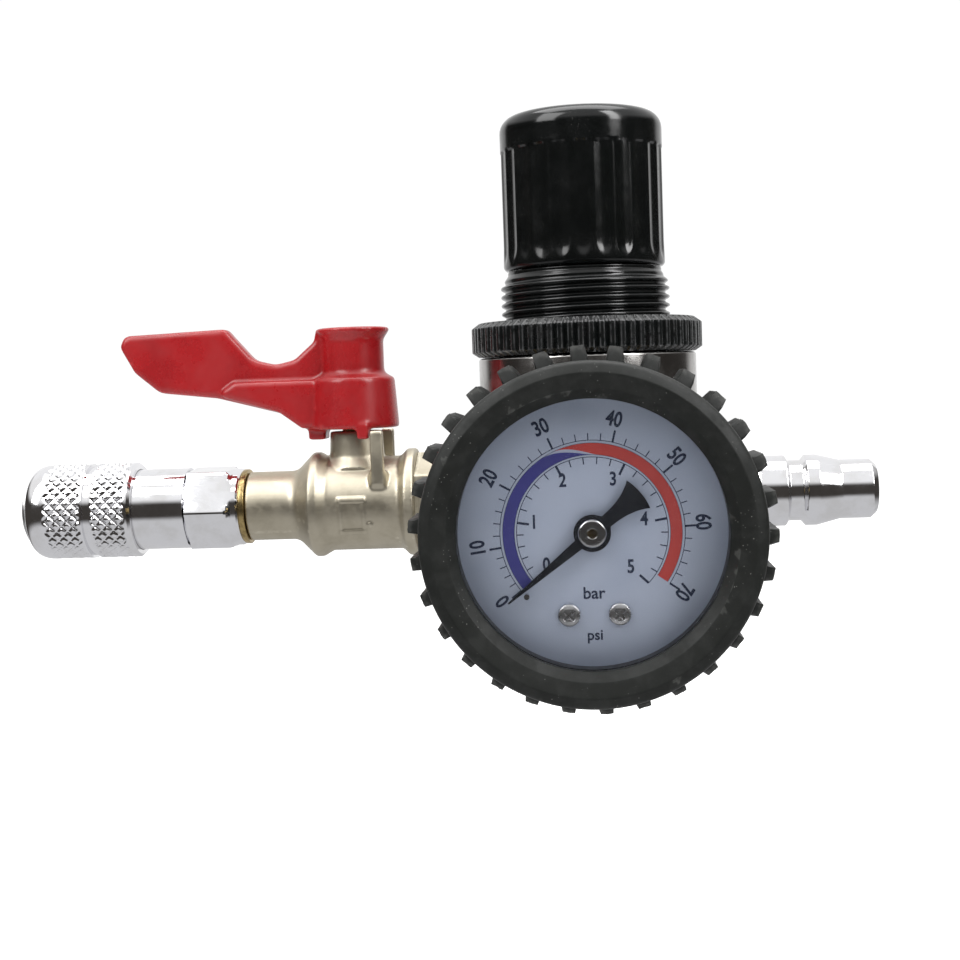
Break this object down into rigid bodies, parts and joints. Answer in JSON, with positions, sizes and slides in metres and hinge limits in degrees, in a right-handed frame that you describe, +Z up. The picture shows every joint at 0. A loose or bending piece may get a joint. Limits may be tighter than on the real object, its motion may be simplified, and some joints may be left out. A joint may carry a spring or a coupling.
{
  "type": "air pressure regulator",
  "caption": "Panel-mount air pressure regulator with a push-lock knob, a dial gauge in a rubber boot, a lever ball valve, a quick-release coupler on one end and a coupler plug on the other.",
  "frame": {"origin": "on the knob axis at the panel nut's upper face, where the exposed panel thread begins", "axes": "+Z up the knob axis, +X along the air line from the outlet coupler to the inlet plug, -Y out of the gauge's face"},
  "size_m": [0.1536, 0.0855, 0.0952],
  "materials": {
    "body_plate": "satin",
    "black_plastic": "gloss",
    "nut_plastic": "satin",
    "red_plastic": "satin",
    "rubber": "matte",
    "seal_rubber": "satin",
    "valve_nickel": "satin nickel plated",
    "brass": "machined",
    "chrome": "polished",
    "spring_steel": "drawn wire",
    "steel": "machined",
    "case_black": "satin",
    "spacer_black": "satin",
    "dial_white": "printed",
    "pointer_black": "matte",
    "clear_lens": "clear",
    "white_seal": "waxy"
  },
  "bodies": {
    "regulator": {"regulator_body": "body_plate", "bonnet": "black_plastic", "panel_nut": "nut_plastic", "thrust_washer": "steel", "diaphragm": "seal_rubber", "main_spring": "spring_steel", "poppet_spring": "spring_steel", "bottom_plug": "black_plastic", "bottom_ring": "seal_rubber", "rear_port_plug": "steel", "inlet_plug": "chrome", "gauge_stem": "brass", "gauge_case": "case_black", "gauge_lens": "clear_lens", "lens_spacer": "spacer_black", "gauge_boot": "rubber", "gauge_dial": "dial_white", "stop_pin": "steel", "dial_screws": "steel", "movement_frame": "brass", "bourdon_tube": "brass", "tip_link": "steel", "valve_body": "valve_nickel", "valve_end": "valve_nickel", "ball_seats": "white_seal", "stem_seal": "white_seal", "coupler_washer": "brass", "coupler_adaptor": "chrome", "coupler_body": "chrome", "locking_balls": "steel", "coupler_seal": "seal_rubber", "sleeve_ring": "spring_steel", "sleeve_spring": "spring_steel", "coupler_poppet_spring": "spring_steel"},
    "screw": {"adjusting_screw": "brass"},
    "knob": {"adjusting_knob": "black_plastic"},
    "seat": {"spring_seat": "steel"},
    "valve_train": {"diaphragm_plate": "steel", "poppet": "brass"},
    "pointer_group": {"pointer": "pointer_black", "pointer_hub": "steel", "pointer_arbor": "brass"},
    "sector": {"sector_gear": "brass"},
    "handle_group": {"handle": "red_plastic", "handle_screw": "steel", "valve_stem": "brass", "valve_ball": "chrome"},
    "sleeve": {"coupler_sleeve": "chrome"},
    "coupler_valve": {"coupler_poppet": "brass"}
  },
  "joints": [
    {"name": "knob_turn", "type": "hinge", "parent": "regulator", "child": "screw", "pos_m": [0, 0, 0.027], "axis": [0, 0, 1], "range_deg": [-1440, 0]},
    {"name": "knob_lift", "type": "slide", "parent": "screw", "child": "knob", "axis": [0, 0, 1], "range_m": [0, 0.0025]},
    {"name": "spring_seat_slide", "type": "slide", "parent": "regulator", "child": "seat", "axis": [0, 0, 1], "range_m": [-0.0061, 0], "deforming": ["main_spring"]},
    {"name": "valve_stroke", "type": "slide", "parent": "regulator", "child": "valve_train", "axis": [0, 0, 1], "range_m": [-0.001, 0], "stiffness_N_per_m": 1500, "springref_m": 0.0008, "deforming": ["diaphragm", "poppet_spring"]},
    {"name": "pointer_turn", "type": "hinge", "parent": "regulator", "child": "pointer_group", "pos_m": [0, -0.055, -0.0323], "axis": [0, 1, 0], "range_deg": [0, 253], "stiffness_Nm_per_rad": 0.00005, "springref_deg": -11.46},
    {"name": "sector_turn", "type": "hinge", "parent": "regulator", "child": "sector", "pos_m": [0.00905, -0.0526, -0.04135], "axis": [0, 1, 0], "range_deg": [-37, 0]},
    {"name": "handle_turn", "type": "hinge", "parent": "regulator", "child": "handle_group", "pos_m": [-0.0422, 0, -0.02], "axis": [0, 0, 1], "range_deg": [-90, 0]},
    {"name": "sleeve_slide", "type": "slide", "parent": "regulator", "child": "sleeve", "axis": [1, 0, 0], "range_m": [0, 0.0045], "stiffness_N_per_m": 1000, "springref_m": -0.003, "deforming": ["sleeve_spring"]},
    {"name": "coupler_valve_slide", "type": "slide", "parent": "regulator", "child": "coupler_valve", "axis": [1, 0, 0], "range_m": [0, 0.003], "stiffness_N_per_m": 500, "springref_m": -0.002, "deforming": ["coupler_poppet_spring"]}
  ],
  "couplings": [
    {"joint": "spring_seat_slide", "follows": "knob_turn", "m_per_rad": 0.00023873},
    {"joint": "sector_turn", "follows": "pointer_turn", "ratio": -0.14286}
  ]
}
